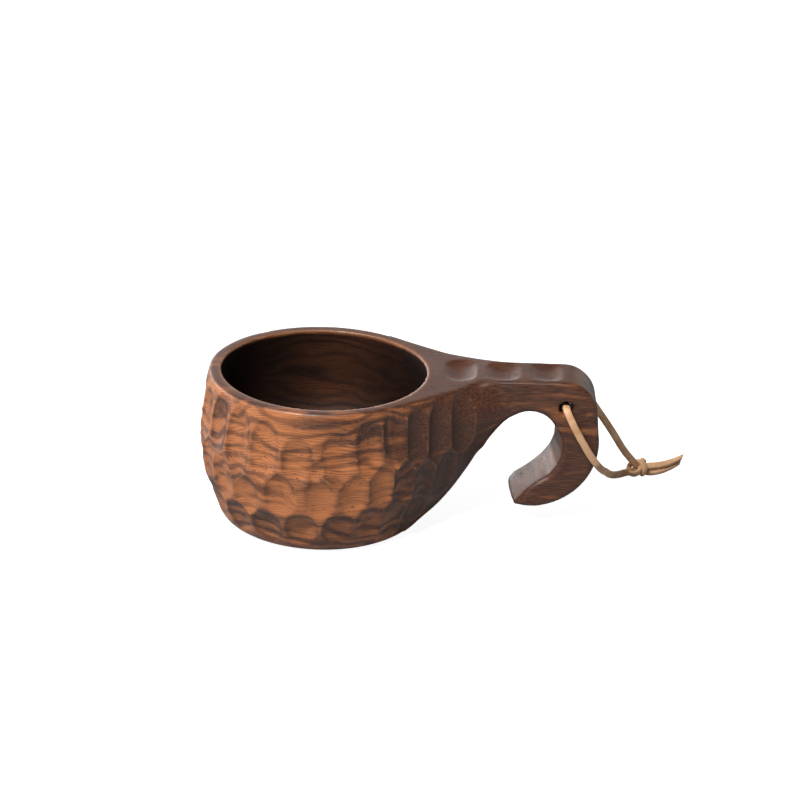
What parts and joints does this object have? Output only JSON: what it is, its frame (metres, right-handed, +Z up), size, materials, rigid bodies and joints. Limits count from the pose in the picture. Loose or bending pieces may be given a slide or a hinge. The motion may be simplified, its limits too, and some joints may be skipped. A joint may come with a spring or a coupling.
{
  "type": "kuksa cup",
  "caption": "Carved wooden drinking cup with a round bowl, a hooked one-finger handle and a knotted leather hanging lace.",
  "frame": {"origin": "centre of the flat base, on the bowl's axis, at table height", "axes": "+X from the bowl along the handle, +Z up the bowl's axis, +Y to the side on which the lace lies"},
  "size_m": [0.2006, 0.103, 0.0626],
  "materials": {
    "wood": "carved with a gouge and oiled, satin, dark reddish brown with grain along the handle",
    "leather": "natural vegetable-tanned thong, matt"
  },
  "bodies": {
    "cup": {"cup": "wood"},
    "lace": {"lace_front": "leather", "lace_back": "leather", "lace_knot": "leather"}
  },
  "joints": [
    {"name": "lace_swing", "type": "hinge", "parent": "cup", "child": "lace", "pos_m": [0.0955, 0, 0.0516], "axis": [0, -1, 0], "range_deg": [0, 90]}
  ]
}
